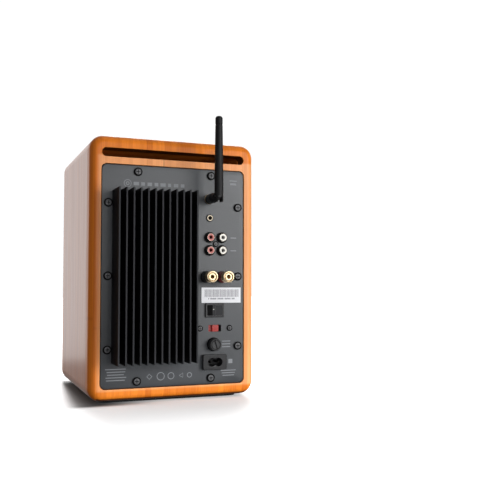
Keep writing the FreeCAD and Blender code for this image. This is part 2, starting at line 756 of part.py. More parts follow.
def make_electronics():
    """Boards, reservoir capacitors, power devices, wireless module and mains transformer."""
    block("amp_board", "78", "1.6", "150", "24", f"{PANEL_BACK}-7.4", "135")
    block("input_board", "37", "1.6", "104", "(phono_x+1)", f"{PANEL_BACK}-13.6", "171")

    chips = new_body("amp_chips")
    dies = [rectangle("24", z, "22", "14", "1") for z in ("108", "162")]
    extrude(chips, dies, "5.8", PANEL_BACK, toward=-1)

    capacitor = master_body("capacitor")
    behind = f"{PANEL_BACK}-7.4"
    turned(capacitor, [
        ("0", f"{behind}-36"), ("11.5", f"{behind}-36"), ("12.5", f"{behind}-35"),
        ("12.5", f"{behind}-3"), ("12", f"{behind}-2.4"), ("12", behind), ("0", behind),
    ])
    scattered("filter_capacitors", capacitor, [("24", "84"), ("24", "186")])

    module = new_body("bluetooth_module")
    board_face = f"{PANEL_BACK}-13.6"
    extrude(module, [rectangle("phono_x", "203", "15", "26")], "1", board_face, toward=-1)
    shield = rectangle("phono_x", "199.5", "13", "16", "0.8")
    extrude(module, [shield], "2.4", f"{board_face}-1", toward=-1)

    transformer = new_body("transformer")
    turned(transformer, [
        ("14", "5"), ("18", "0"), ("40", "0", "6", 1), ("45", "6"), ("45", "32", "6", 1),
        ("40", "38"), ("18", "38"), ("14", "33"),
    ], axis="Z")
    place(transformer, "18", "26", f"{WOOD_LOW}+wall")


# ---------------------------------------------------------------- antenna


def aerial_part(name, corners):
    return turned_part(name, corners, "aerial_x", "0", "aerial_z")


def make_antenna():
    """Screw-on whip antenna: socket, swivelling knuckle, hinge pin and folding whip."""
    aerial_part("antenna_jack", [
        ("0", f"{FACE}-12"), ("4.5", f"{FACE}-12"), ("4.5", PANEL_BACK), ("3.1", PANEL_BACK),
        ("3.1", FACE), ("5.4", FACE), ("5.4", f"{FACE}+1.1"), ("5", f"{FACE}+1.5"),
        ("3.1", f"{FACE}+1.5"), ("3.1", f"{FACE}+8"), ("0", f"{FACE}+8"),
    ])
    knuckle = aerial_part("antenna_knuckle", [
        ("3.2", f"{FACE}+1.8"), ("5", f"{FACE}+1.8"), ("5.2", f"{FACE}+2.2"),
        ("5.2", f"{FACE}+12", "9", 1), ("4", f"{FACE}+18.4"), ("3.4", f"{FACE}+19"),
        ("0", f"{FACE}+19"), ("0", f"{FACE}+8.6"), ("3.2", f"{FACE}+8.6"),
    ])
    hinge = f"({FACE}+aerial_out)"
    tongue = [
        (f"{FACE}+14", "-3.4"), (hinge, "-3.4", "3.4", 1), (f"{hinge}+3.4", "0", "3.4", 1),
        (hinge, "3.4"), (f"{FACE}+14", "3.4"),
    ]
    extrude(knuckle, [tongue], "tongue_t", plane="YZ_Plane", both=True)
    carve(knuckle, [(hinge, "0", "hinge_pin+0.05")], "10", plane="YZ_Plane", both=True)

    whip = new_body("antenna_whip")
    turned(whip, [
        ("0", "-6"), ("whip_foot-1", "-6"), ("whip_foot", "-5"),
        ("whip_foot", "14"), ("whip_tip", "whip_long-10"), ("whip_tip-0.3", "whip_long-9.4"),
        ("whip_tip-0.3", "whip_long-8.8"), ("whip_tip", "whip_long-8.2"),
        ("whip_tip", "whip_long-2.4", "3", 1), ("1.2", "whip_long"), ("0", "whip_long"),
    ], axis="Z")
    for sign in (-1, 1):
        cheek = rectangle(f"{sign}*(whip_foot-0.4+2)", "0", "4", "30")
        carve(whip, [cheek], "24", "-6", plane="XY_Plane")
    fork = [
        ("-10", "-10"), ("10", "-10"), ("10", "0"), ("3.8", "0", "3.8", 1), ("0", "3.8"),
        ("-10", "3.8"),
    ]
    carve(whip, [fork], "tongue_t+0.3", plane="YZ_Plane", both=True)
    carve(whip, [("0", "0", "hinge_pin")], "12", plane="YZ_Plane", both=True)
    place(whip, "aerial_x", hinge, "aerial_z")

    pin = new_body("antenna_pin")
    extrude(pin, [("0", "0", "hinge_pin")], "2*whip_foot-1", plane="YZ_Plane", both=True)
    place(pin, "aerial_x", hinge, "aerial_z")


# ---------------------------------------------------------------- sockets


def make_aux_jack():
    turned_part("aux_jack", [
        ("aux_bore", f"{FACE}-15"), ("4.5", f"{FACE}-15"), ("4.5", PANEL_BACK), ("3", PANEL_BACK),
        ("3", FACE), ("3.95", FACE), ("3.95", f"{FACE}+1"), ("3.5", f"{FACE}+1.4"),
        ("aux_bore+0.5", f"{FACE}+1.4"), ("aux_bore", f"{FACE}+0.9"),
    ], "aux_x", "0", "aux_z")


def make_phono_sockets():
    """Four phono sockets: one moulded housing, a plated sleeve and a coloured insert each."""
    housing = new_body("rca_housing")
    extrude(housing, [rectangle("phono_x", "phono_z", "29", "29", "1")], "12", PANEL_BACK, -1)
    collars = [(x, z, "phono_collar") for x, z in phono_spots()]
    extrude(housing, collars, "panel_t+2", PANEL_BACK)
    bores = [(x, z, "3.75") for x, z in phono_spots()]
    carve(housing, bores, "12", f"{FACE}+2", toward=-1)
    carve(housing, [("phono_x", "phono_z", "1.6")], "8", PANEL_BACK, toward=-1)

    sleeve = master_body("phono_sleeve")
    turned(sleeve, [
        ("3.7", f"{FACE}+2"), ("phono_sleeve", f"{FACE}+2"),
        ("phono_sleeve", f"{FACE}+phono_out-0.3"), ("phono_sleeve-0.3", f"{FACE}+phono_out"),
        ("3.7", f"{FACE}+phono_out"),
    ])
    scattered("rca_sleeves", sleeve, phono_spots())

    insert = master_body("phono_insert")
    turned(insert, [
        ("0", f"{FACE}-9"), ("3.65", f"{FACE}-9"), ("3.65", f"{FACE}+phono_out-0.1"),
        ("phono_contact+0.3", f"{FACE}+phono_out-0.1"),
        ("phono_contact", f"{FACE}+phono_out-0.4"),
        ("phono_contact", f"{FACE}-4"), ("0", f"{FACE}-4"),
    ])
    spots = phono_spots()
    scattered("rca_inserts_red", insert, spots[:2])
    scattered("rca_inserts_white", insert, spots[2:])


def make_binding_posts():
    """Bush and stud fixed in the panel; clamp ring and cap screw outwards together."""
    bush = master_body("post_bush")
    turned(bush, [
        ("stud_round", f"{FACE}-6"), ("4.5", f"{FACE}-6"), ("4.5", FACE), ("post_round+0.3", FACE),
        ("post_round+0.3", f"{FACE}+1.6"), ("post_round-0.1", f"{FACE}+2"),
        ("stud_round", f"{FACE}+2"),
    ])
    scattered("post_bushes", bush, post_spots())

    stud = master_body("post_stud")
    turned(stud, [
        ("0", f"{FACE}-15"), ("stud_round", f"{FACE}-15"), ("stud_round", f"{FACE}+post_out-0.8"),
        ("stud_round-0.3", f"{FACE}+post_out-0.5"), ("banana+0.3", f"{FACE}+post_out-0.5"),
        ("banana", f"{FACE}+post_out-0.8"), ("banana", f"{FACE}"), ("0", f"{FACE}"),
    ])
    scattered("post_studs", stud, post_spots())

    for name, (x, z) in zip(("black", "red"), post_spots()):
        turned_part(f"post_ring_{name}", [
            ("stud_round+0.1", f"{FACE}+2.2"), ("post_round-0.6", f"{FACE}+2.2"),
            ("post_round-0.2", f"{FACE}+2.6"), ("post_round-0.2", f"{FACE}+13.4"),
            ("post_round-0.6", f"{FACE}+13.8"), ("stud_round+0.1", f"{FACE}+13.8"),
        ], x, "0", z)
        turned_part(f"post_cap_{name}", [
            ("stud_round+0.1", f"{FACE}+14"), ("post_round-0.4", f"{FACE}+14"),
            ("post_round", f"{FACE}+14.4"), ("post_round", f"{FACE}+post_out-0.4"),
            ("post_round-0.4", f"{FACE}+post_out"), ("4.8", f"{FACE}+post_out"),
            ("4.6", f"{FACE}+post_out-0.2"), ("4.6", f"{FACE}+post_out-1.6"),
            ("stud_round+0.1", f"{FACE}+post_out-1.6"),
        ], x, "0", z)


def make_label():
    block("serial_label", "label_w", "0.2", "label_high", "label_x", FACE, "label_z")


# ---------------------------------------------------------------- mains side


def make_power_switch():
    """Housing with a bezel, and a rocker on trunnions, resting with its +X half pressed."""
    at = ("switch_x", FACE, "switch_z")
    housing = new_body("switch_housing")
    bezel = rectangle("0", "0", "switch_w", "switch_high", "1")
    extrude(housing, [bezel], "switch_out")
    soften(housing, "Fillet", "0.6", flat_at("switch_out"))
    extrude(housing, [rectangle("0", "0", "19", "13")], "19", toward=-1)
    well = rectangle("0", "0", "rocker_w+0.9", "rocker_high+0.4", "0.5")
    carve(housing, [well], "11", "switch_out", toward=-1)
    trunnion = "1"
    pivot = "switch_out-1"
    bore = [("0", pivot, f"{trunnion}+0.05")]
    carve(housing, bore, "rocker_high+2.4", plane="XY_Plane", both=True)
    place(housing, *at)

    rocker = new_body("switch_rocker")
    half = "rocker_w/2"
    section = [
        (f"-{half}", "1.3"), ("0", "0.6"), (half, "1.3"), (f"{half}-0.1", "-2.4"),
        ("4", "-5.4"), ("-4", "-5.4"), (f"-{half}+0.1", "-2.4"),
    ]
    extrude(rocker, [list(reversed(section))], "rocker_high", plane="XY_Plane", both=True)
    extrude(rocker, [("0", "0", trunnion)], "rocker_high+1.8", plane="XY_Plane", both=True)
    place(rocker, "switch_x", f"{FACE}+{pivot}", "switch_z")
    rocker.Placement.Rotation = FreeCAD.Rotation(FreeCAD.Vector(0, 0, 1), -size("rocker_tilt"))


def make_voltage_selector():
    """Slide switch behind the panel; its red slider shows in the panel's window."""
    at = ("selector_x", PANEL_BACK, "selector_z")
    body = new_body("selector_body")
    extrude(body, [rectangle("0", "0", "selector_pitch+4", "9", "1")], "1", toward=-1)
    extrude(body, [rectangle("0", "0", "18", "10")], "8", toward=-1)
    ears = [("selector_pitch/2", "0", "1.6"), ("-selector_pitch/2", "0", "1.6")]
    carve(body, ears, "3", "1", toward=-1)
    carve(body, [rectangle("0", "0", "window_w", "window_high")], "6", "0", toward=-1)
    place(body, *at)

    slider = new_body("selector_slider")
    extrude(slider, [rectangle("0", "0", "slider_w", "window_high-0.3", "0.4")], "7.2", "-5.8")
    extrude(slider, [rectangle("-1.85", "0", "7.1", "window_high-0.3", "0.4")], "2.5", "1.4")
    soften(slider, "Fillet", "0.3", flat_at("3.9"))
    place(slider, "selector_x+(window_w-slider_w)/2-0.1", PANEL_BACK, "selector_z")


def make_fuse():
    """Panel fuse holder: barrel, screwdriver-slotted bayonet cap and a 5 x 20 mm fuse."""
    at = ("fuse_x", FACE, "fuse_z")
    turned_part("fuse_holder", [
        ("0", "-29"), ("6", "-29"), ("6", "0"), ("fuse_flange", "0"), ("fuse_flange", "1.2"),
        ("fuse_flange-0.5", "1.7"), ("5.2", "1.7"), ("5.2", "-27.5"), ("0", "-27.5"),
    ], *at)
    cap = turned_part("fuse_cap", [
        ("2.6", "-10"), ("5.1", "-10"), ("5.1", "1.9"), ("fuse_cap_round", "1.9"),
        ("fuse_cap_round", "fuse_cap_out-0.7"), ("fuse_cap_round-0.6", "fuse_cap_out"),
        ("0", "fuse_cap_out"), ("0", "-5.6"), ("2.6", "-5.6"),
    ], *at)
    lean = math.radians(-17)
    slot = [
        (
            f"{x * math.cos(lean) - z * math.sin(lean):.4f}",
            f"{x * math.sin(lean) + z * math.cos(lean):.4f}",
        )
        for x, z in ((-0.7, -4.4), (0.7, -4.4), (0.7, 4.4), (-0.7, 4.4))
    ]
    carve(cap, [slot], "2.6", "fuse_cap_out+1", toward=-1)
    turned_part("fuse", [
        ("0", "-26"), ("2.5", "-26"), ("2.5", "-21"), ("2.3", "-21"), ("2.3", "-11"),
        ("2.5", "-11"), ("2.5", "-6"), ("0", "-6"),
    ], *at)


def make_mains_inlet():
    """Two-pole figure-eight inlet and its pins."""
    at = ("inlet_x", FACE, "inlet_z")
    inlet = new_body("ac_inlet")
    bezel = rectangle("0", "0", "inlet_w", "inlet_high", "1.8")
    extrude(inlet, [bezel], "inlet_out")
    soften(inlet, "Fillet", "0.6", flat_at("inlet_out"))
    extrude(inlet, [rectangle("0", "0", "22", "12")], "14", toward=-1)
    for sign in ("-", ""):
        lobe = (f"{sign}3.6", "0", "inlet_lobe")
        carve(inlet, [lobe], "15", "inlet_out", toward=-1)
    place(inlet, *at)

    pins = new_body("ac_pins")
    spots = [("-4.3", "0", "1.2"), ("4.3", "0", "1.2")]
    extrude(pins, spots, "13.2", "inlet_out-15")
    soften(pins, "Fillet", "0.9", flat_at("inlet_out-1.8"))
    place(pins, *at)


# ---------------------------------------------------------------- build and export


def make_all():
    make_ring_boards()
    make_front_baffle()
    make_rear_board()
    make_port_shelf()
    make_base_pad()
    make_woofer_basket()
    make_woofer_surround()
    make_woofer_cone()
    make_woofer_dust_cap()
    make_woofer_spider()
    make_woofer_motor()
    make_woofer_screws()
    make_tweeter()
    make_volume_control()
    make_status_lamp()
    make_amp_panel()
    make_panel_screws()
    make_small_screws()
    make_heatsink()
    make_electronics()
    make_antenna()
    make_aux_jack()
    make_phono_sockets()
    make_binding_posts()
    make_label()
    make_power_switch()
    make_voltage_selector()
    make_fuse()
    make_mains_inlet()


def check():
    """Stops before anything is written if an object failed or a sub-part is no solid."""
    doc.recompute()
    for thing in doc.Objects:
        if "Invalid" in thing.State or "Error" in thing.State:
            raise RuntimeError(f"{thing.Label} failed: {thing.State}")
    for part in parts:
        shape = part.Shape
        if shape.isNull() or not shape.isValid() or not shape.Solids or shape.Volume <= 0:
            raise RuntimeError(f"{part.Label} is no valid solid")


def export():
    os.makedirs("parts", exist_ok=True)
    for old in os.listdir("parts"):
        os.remove(os.path.join("parts", old))
    for part in parts:
        part.Shape.exportStep(f"parts/{part.Label}.step")
        print(f"{part.Label}: {len(part.Shape.Solids)} solids, {part.Shape.Volume:.0f} mm3")
    print(len(parts), "sub-parts")


make_all()
check()
export()
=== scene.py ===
"""Looks of the powered bamboo bookshelf speaker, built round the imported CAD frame."""

import json
import math

import bmesh
import bpy
from mathutils import Matrix, Vector
from mathutils.bvhtree import BVHTree


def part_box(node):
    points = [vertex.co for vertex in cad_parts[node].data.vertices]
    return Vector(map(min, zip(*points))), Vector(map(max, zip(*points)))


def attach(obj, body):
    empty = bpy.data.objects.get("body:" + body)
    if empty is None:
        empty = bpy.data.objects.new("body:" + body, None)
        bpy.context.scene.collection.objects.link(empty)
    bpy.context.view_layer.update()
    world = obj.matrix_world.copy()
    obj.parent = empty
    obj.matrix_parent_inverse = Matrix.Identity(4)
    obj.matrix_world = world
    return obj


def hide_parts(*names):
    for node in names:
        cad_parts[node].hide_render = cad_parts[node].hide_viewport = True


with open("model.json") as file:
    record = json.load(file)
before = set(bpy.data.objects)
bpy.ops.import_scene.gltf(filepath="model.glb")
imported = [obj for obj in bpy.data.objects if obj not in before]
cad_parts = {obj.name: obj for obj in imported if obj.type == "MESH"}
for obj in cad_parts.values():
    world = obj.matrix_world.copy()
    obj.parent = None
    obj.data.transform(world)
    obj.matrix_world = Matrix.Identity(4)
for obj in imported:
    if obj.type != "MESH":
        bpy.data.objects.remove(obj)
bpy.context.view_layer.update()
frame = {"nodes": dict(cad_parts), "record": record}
NODES = frame["nodes"]


def middle(node):
    low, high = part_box(node)
    return (low + high) / 2


# All lengths are in metres.
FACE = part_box("amp_panel")[1].y
SLOT_LOW, SLOT_HIGH, SLOT_HALF = 0.2510, 0.2615, 0.080
SUNK, PROUD = 0.00002, 0.00004      # how far a printed mark reaches below and above its face
WELD = 0.000002                     # vertices nearer than this are one
FULL_TURN = 6.2832                  # radians
DIAGONAL = 0.7071                   # cosine of 45 degrees

# ---------------------------------------------------------------- camera, room and lights

YAW, PITCH = 0.3841, 0.0458
CAMERA_AT = Vector((0.2138, 0.8371, 0.1200))
LENS_MM, SENSOR_MM, SHIFT_UP = 52.58, 36, 0.003

FOOT_HALF_X, FOOT_HALF_Y = 0.082, 0.094
FLOOR_REACH = 6.0
WHITE_WALL = (-0.17, -0.984, 0.05)  # direction of the room's white part

WHITE, WARM = (1, 1, 1), (1.0, 0.985, 0.96)
# Name, size, place, aim, power, colour, and the rays that see it. The lamp that lights the wood
# and the one that the paint mirrors stand apart.
LAMPS = (
    ("key_softbox", (0.60, 0.60), (-0.85, 0.92, 0.12), (0, 0.05, 0.08), 17.0, WARM, "diffuse"),
    ("sheen_softbox", (0.62, 0.62), (-0.60, 0.98, 0.33), (0, 0.05, 0.12), 6.2, WHITE, "glossy"),
    ("fill_softbox", (0.30, 0.40), (0.02, 1.10, 0.30), (0, 0.1, 0.12), 1.3, WHITE, "both"),
    ("wash_softbox", (0.50, 0.50), (0.32, 1.05, 0.14), (0, 0.05, 0.11), 3.4, WHITE, "diffuse"),
    ("floor_bounce", (0.28, 0.10), (-0.06, 0.153, 0.003), (-0.06, 0.153, 1), 0.13, WHITE,
     "diffuse"),
    ("front_softbox", (0.9, 0.9), (-0.55, -1.35, 0.85), (0, 0, 0.12), 16.0, WARM, "both"),
    ("side_softbox", (0.8, 0.8), (1.5, -0.5, 0.8), (0.089, 0, 0.13), 4.5, WHITE, "diffuse"),
    ("top_softbox", (4.0, 4.0), (0.0, -0.9, 2.6), (0, -0.9, 0), 17, WHITE, "both"),
)


def make_camera():
    data = bpy.data.cameras.new("camera")
    data.lens, data.sensor_width = LENS_MM, SENSOR_MM
    data.shift_y = SHIFT_UP
    data.clip_start, data.clip_end = 0.01, 100
    camera = bpy.data.objects.new("camera", data)
    bpy.context.scene.collection.objects.link(camera)
    forward = Vector((
        -math.sin(YAW) * math.cos(PITCH), -math.cos(YAW) * math.cos(PITCH), math.sin(PITCH)
    ))
    right = Vector((-math.cos(YAW), math.sin(YAW), 0))
    up = right.cross(forward)
    turn = Matrix((right, up, -forward)).transposed().to_4x4()
    camera.matrix_world = Matrix.Translation(CAMERA_AT) @ turn
    bpy.context.scene.camera = camera


class Graph:
    """A node tree that is written as nested calls. Inputs are values or other nodes' outputs."""

    def __init__(self, tree):
        self.tree = tree
        tree.nodes.clear()

    def add(self, kind, settings=None, **inputs):
        """Adds a node. An input in0, in1 ... is a socket's number, any other is its name."""
        node = self.tree.nodes.new(kind)
        for key, value in (settings or {}).items():
            setattr(node, key, value)
        for key, value in inputs.items():
            spot = int(key[2:]) if key.startswith("in") else key.replace("_", " ")
            if isinstance(value, bpy.types.NodeSocket):
                self.tree.links.new(value, node.inputs[spot])
            else:
                node.inputs[spot].default_value = value
        return node

    def math(self, operation, a, b=0.0):
        return self.add("ShaderNodeMath", {"operation": operation}, in0=a, in1=b).outputs[0]

    def plus(self, a, b):
        return self.math("ADD", a, b)

    def minus(self, a, b):
        return self.math("SUBTRACT", a, b)

    def times(self, a, b):
        return self.math("MULTIPLY", a, b)

    def apart(self, a, b):
        return self.math("ABSOLUTE", self.minus(a, b))

    def length(self, a, b):
        return self.math("SQRT", self.plus(self.times(a, a), self.times(b, b)))

    def ramp(self, value, low, high, to_low=0.0, to_high=1.0, smooth=True):
        kind = "SMOOTHSTEP" if smooth else "LINEAR"
        return self.add(
            "ShaderNodeMapRange", {"interpolation_type": kind, "clamp": True},
            in0=value, in1=low, in2=high, in3=to_low, in4=to_high,
        ).outputs[0]

    def mix(self, share, a, b):
        """Colour a where share is 0, and b where it is 1."""
        return self.add("ShaderNodeMix", {"data_type": "RGBA", "blend_type": "MIX"},
                        in0=share, in6=a, in7=b).outputs[2]

    def place(self):
        """Position in the row frame, which an object carries with it when its body moves."""
        return self.add("ShaderNodeTexCoord").outputs["Object"]

    def split(self, vector):
        return self.add("ShaderNodeSeparateXYZ", in0=vector).outputs

    def join(self, x, y, z):
        return self.add("ShaderNodeCombineXYZ", in0=x, in1=y, in2=z).outputs[0]

    def stretch(self, vector, x, y, z):
        return self.add("ShaderNodeVectorMath", {"operation": "MULTIPLY"},
                        in0=vector, in1=(x, y, z)).outputs[0]

    def noise(self, vector, scale, detail=2.0, rough=0.5):
        return self.add("ShaderNodeTexNoise", in0=vector, Scale=scale, Detail=detail,
                        Roughness=rough).outputs[0]

    def bump(self, height, depth, strength):
        return self.add("ShaderNodeBump", Height=height, Distance=depth,
                        Strength=strength).outputs[0]


def light(name, size, at, towards, power, colour, rays):
    data = bpy.data.lights.new(name, "AREA")
    data.shape, data.size, data.size_y = "RECTANGLE", size[0], size[1]
    data.energy, data.color = power, colour
    lamp = bpy.data.objects.new(name, data)
    bpy.context.scene.collection.objects.link(lamp)
    lamp.location = at
    lamp.rotation_mode = "QUATERNION"
    aim = Vector(towards) - Vector(at)
    lamp.rotation_quaternion = aim.to_track_quat("-Z", "Y")
    lamp.visible_camera = False
    lamp.visible_glossy = rays != "diffuse"
    lamp.visible_diffuse = rays != "glossy"


def floor_light(g, spot):
    """Painted glow and painted shadow of the floor: grey in front, a dark wedge at +X."""
    x, y = spot[0], spot[1]
    off_x = g.math("MAXIMUM", g.minus(g.math("ABSOLUTE", x), FOOT_HALF_X), 0.0)
    off_y = g.math("MAXIMUM", g.minus(g.math("ABSOLUTE", y), FOOT_HALF_Y), 0.0)

    # Rear side, which the main view sees: painted shadow, the glow grey near the foot and paler
    # outwards.
    front = g.ramp(g.length(off_x, g.times(off_y, 0.15)), 0.005, 0.034, 0.42, 0.90)
    in_front = g.ramp(y, 0.090, 0.100)
    other = g.ramp(g.math("MAXIMUM", off_x, off_y), 0.0, 0.02, 0.3, 0.85)
    glow = g.plus(g.times(in_front, front), g.times(g.minus(1.0, in_front), other))

    # Painted shadow: a dark wedge beside the +X side, which narrows towards the front baffle.
    width = g.ramp(y, -0.095, 0.095, 0.22, 1.0, smooth=False)
    wedge = g.math("DIVIDE", g.math("MAXIMUM", g.minus(x, 0.084), 0.0), width)
    side = g.ramp(wedge, 0.012, 0.036, 0.0, 0.95)
    plus_x = g.times(g.ramp(x, 0.0, 0.08), g.ramp(y, 0.100, 0.118, 1.0, 0.0))
    plus_x = g.times(plus_x, g.ramp(y, -0.112, -0.094))
    glow = g.plus(g.times(plus_x, side), g.times(g.minus(1.0, plus_x), glow))
    dark = g.times(plus_x, g.ramp(wedge, 0.004, 0.026, 1.0, 0.0))

    far_behind = g.ramp(y, -0.3, -1.7, 0.0, 0.6)
    return g.plus(far_behind, glow), g.minus(1.0, dark)


def make_world():
    """A grey room with one white wall. Seen directly, it is white all round, as a cove is."""
    world = bpy.data.worlds.new("studio")
    bpy.context.scene.world = world
    world.use_nodes = True
    g = Graph(world.node_tree)
    look = g.add("ShaderNodeTexCoord").outputs["Generated"]
    bright = g.add("ShaderNodeVectorMath", {"operation": "DOT_PRODUCT"},
                   in0=look, in1=WHITE_WALL).outputs["Value"]
    height = g.split(look)[2]
    share = g.times(g.ramp(bright, 0.60, 0.80), g.ramp(height, -0.107, -0.092, 0.16, 1.0))
    below = g.ramp(height, -0.35, -0.02, 0.35, 1.0)
    shaded = g.mix(below, (0.0, 0.0, 0.0, 1), (0.13, 0.135, 0.145, 1))
    colour = g.mix(share, shaded, (1.12, 1.12, 1.13, 1))
    room = g.add("ShaderNodeBackground", Color=colour, Strength=1.0)
    cove = g.add("ShaderNodeBackground", Color=(1.04, 1.04, 1.04, 1), Strength=1.0)
    direct = g.add("ShaderNodeLightPath").outputs["Is Camera Ray"]
    seen = g.add("ShaderNodeMixShader", in0=direct, in1=room.outputs[0], in2=cove.outputs[0])
    g.add("ShaderNodeOutputWorld", Surface=seen.outputs[0])


def floor_surface(g):
    glow, shade = floor_light(g, g.split(g.place()))
    tone = g.noise(g.place(), 40.0, 3.0)
    colour = g.mix(tone, (0.72, 0.72, 0.722, 1), (0.76, 0.76, 0.762, 1))
    # Painted shadow: the floor's colour darkens in the wedge beside the +X side.
    colour = g.mix(shade, (0.12, 0.12, 0.12, 1), colour)
    return dict(Base_Color=colour, Roughness=0.55, Emission_Strength=glow,
                Emission_Color=(1, 1, 1, 1))


def make_floor():
    """Floor in one wide sheet. The object neither mirrors it nor gets light bounced from it."""
    bm = bmesh.new()
    corners = ((-1, -1), (1, -1), (1, 1), (-1, 1))
    bm.faces.new([bm.verts.new((x * FLOOR_REACH, y * FLOOR_REACH, 0)) for x, y in corners])
    bmesh.ops.subdivide_edges(bm, edges=bm.edges[:], cuts=8, use_grid_fill=True)
    mesh = bpy.data.meshes.new("floor")
    bm.to_mesh(mesh)
    bm.free()
    floor = bpy.data.objects.new("floor", mesh)
    bpy.context.scene.collection.objects.link(floor)
    mesh.materials.append(surface("studio_floor", floor_surface))
    floor.visible_diffuse = floor.visible_glossy = False


def make_room():
    make_world()
    make_floor()
    for lamp in LAMPS:
        light(*lamp)
    bpy.context.scene.view_settings.view_transform = "Standard"


# ---------------------------------------------------------------- materials


MATERIALS = {}      # by the names given here: Blender's own may get a number added


def surface(name, make):
    """A material whose shader inputs come from make(graph)."""
    material = MATERIALS[name] = bpy.data.materials.new(name)
    material.use_nodes = True
    g = Graph(material.node_tree)
    inputs = make(g)
    shader = g.add("ShaderNodeBsdfPrincipled", **inputs)
    g.add("ShaderNodeOutputMaterial", Surface=shader.outputs[0])
    return material


def rgb(colour, by=1.0):
    """A colour as a node wants it, paler or darker by a factor."""
    return (*(min(1.0, c * by) for c in colour), 1.0)


def beside_panel(g, p):
    """1 on the paler wood close round the panel and on the strip up to the slot, else 0. The
    paleness is partly sanding, partly a painted highlight.
    """
    low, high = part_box("amp_panel")
    sides = g.times(g.ramp(p[0], high.x + 0.0012, high.x + 0.0060, 1.0, 0.0),
                    g.ramp(p[0], low.x - 0.0150, low.x - 0.0080))
    above = g.ramp(p[2], SLOT_LOW, SLOT_LOW + 0.003, 1.0, 0.0)
    below = g.ramp(p[2], low.z - 0.004, low.z - 0.0005)
    return g.times(sides, g.times(above, below))


def rear_board_marks(g, p, amount, colour):
    """What sets the rear board apart: painted shade on the +X round-over, paler wood round the
    panel (partly sanding, partly a painted highlight), a glue joint, and painted shade deep in the
    slot.
    """
    # Painted shade: the wood darkens towards the +X round-over, which faces away from the light.
    edge_shade = g.times(g.ramp(p[0], 0.0805, 0.0865, 0.0, 0.55),
                     g.ramp(p[0], 0.0882, 0.0889, 1.0, 0.15))
    colour = g.mix(edge_shade, colour, (0.26, 0.055, 0.004, 1))

    # Paler wood round the panel: partly sanding, partly a painted highlight along the rebate and
    # round-over.
    sanded_and_highlight = g.mix(amount, (0.60, 0.24, 0.085, 1), (0.88, 0.42, 0.19, 1))
    colour = g.mix(g.times(beside_panel(g, p), 0.80), colour, sanded_and_highlight)

    joint_x, joint_low = 0.0125, 0.2425
    line = g.times(g.ramp(g.apart(p[0], joint_x), 0.0002, 0.0005, 1.0, 0.0),
                   g.ramp(p[2], joint_low, joint_low + 0.0005))
    line = g.times(line, g.ramp(p[2], SLOT_LOW, SLOT_LOW + 0.0005, 1.0, 0.0))
    colour = g.mix(g.times(line, 0.8), colour, (0.10, 0.03, 0.01, 1))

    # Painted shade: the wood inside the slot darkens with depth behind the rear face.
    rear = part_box("rear_board")[1].y
    slot_shade = g.ramp(p[1], rear - 0.0030, rear - 0.0012, 0.86, 0.0)
    inside = g.times(g.math("LESS_THAN", g.math("ABSOLUTE", p[0]), SLOT_HALF),
                     g.math("LESS_THAN", p[2], SLOT_HIGH))
    return g.mix(g.times(slot_shade, inside), colour, (0.03, 0.008, 0.001, 1))


def bamboo(name, across, along, tint=1.0, contrast=1.0, coat=0.42, rear=False):
    """Vertical-grain bamboo: glued strips of changing tone, fibres, knuckles, clear lacquer.

    across and along are the axes over the strips and down the grain."""
    def make(g):
        p = g.split(g.place())
        axes = p[across], p[along], p[3 - across - along]

        def strips(feature):
            return g.add("ShaderNodeTexVoronoi",
                         {"voronoi_dimensions": "1D", "feature": feature},
                         W=g.times(axes[0], 150.0), Scale=1.0, Randomness=0.45).outputs

        def grain(scales, detail, rough):
            drawn = [g.times(axis, scale) if scale else 0.0
                     for axis, scale in zip(axes, scales)]
            return g.noise(g.join(*drawn), 1.0, detail, rough)

        picked = g.split(strips("F1")["Color"])
        fibre = grain((900.0, 9.0, 500.0), 3.0, 0.6)
        streak = grain((260.0, 3.0, 120.0), 2.0, 0.5)
        broad = grain((22.0, 2.5, 0.0), 2.0, 0.5)
        amount = g.plus(g.times(picked[0], 0.26), g.times(fibre, 0.42))
        amount = g.plus(amount, g.times(streak, 0.34))
        amount = g.plus(amount, g.times(broad, 0.42))
        half = 0.33 / contrast
        amount = g.ramp(amount, 0.72 - half, 0.72 + half, smooth=False)
        colour = g.mix(amount, (0.44 * tint, 0.095 * tint, 0.007 * tint, 1),
                       (0.84 * tint, 0.250 * tint, 0.024 * tint, 1))

        # A knuckle crosses each strip about every quarter of a metre, at its own height.
        height = g.plus(g.times(axes[1], 4.1), g.times(picked[1], 7.0))
        knuckle = g.ramp(g.apart(g.math("FRACT", height), 0.5), 0.0, 0.012, 1.0, 0.0)
        colour = g.mix(g.times(knuckle, 0.28 * contrast), colour, (0.36, 0.10, 0.012, 1))
        seam = g.ramp(strips("DISTANCE_TO_EDGE")["Distance"], 0.0, 0.035, 1.0, 0.0)
        colour = g.mix(g.times(seam, 0.22 * contrast), colour, (0.30, 0.08, 0.010, 1))
        if rear:
            colour = rear_board_marks(g, p, amount, colour)
        relief = g.minus(fibre, g.times(seam, 0.8))
        return dict(Base_Color=colour, Roughness=g.ramp(fibre, 0.3, 0.7, 0.42, 0.30),
                    Specular_IOR_Level=0.15 if rear else 0.30,
                    Coat_Weight=coat, Coat_Roughness=0.12,
                    Normal=g.bump(relief, 0.00005, 0.35))
    surface(name, make)


def plain(name, colour, rough, metal=0.0, spread=0.25, grain=700.0, depth=0.00002, **extra):
    """A moulded, cast, plated or painted finish: mottled tone and roughness, and a fine relief."""
    def make(g):
        p = g.place()
        cloud = g.noise(p, 60.0, 3.0)
        fine = g.noise(p, grain)
        tone = g.mix(g.times(g.plus(cloud, fine), 0.5), rgb(colour, 1 - spread),
                     rgb(colour, 1 + spread))
        return dict(Base_Color=tone, Metallic=metal,
                    Roughness=g.ramp(fine, 0.2, 0.8, rough * 0.85, rough * 1.15),
                    Normal=g.bump(fine, depth, 0.6), **extra)
    surface(name, make)


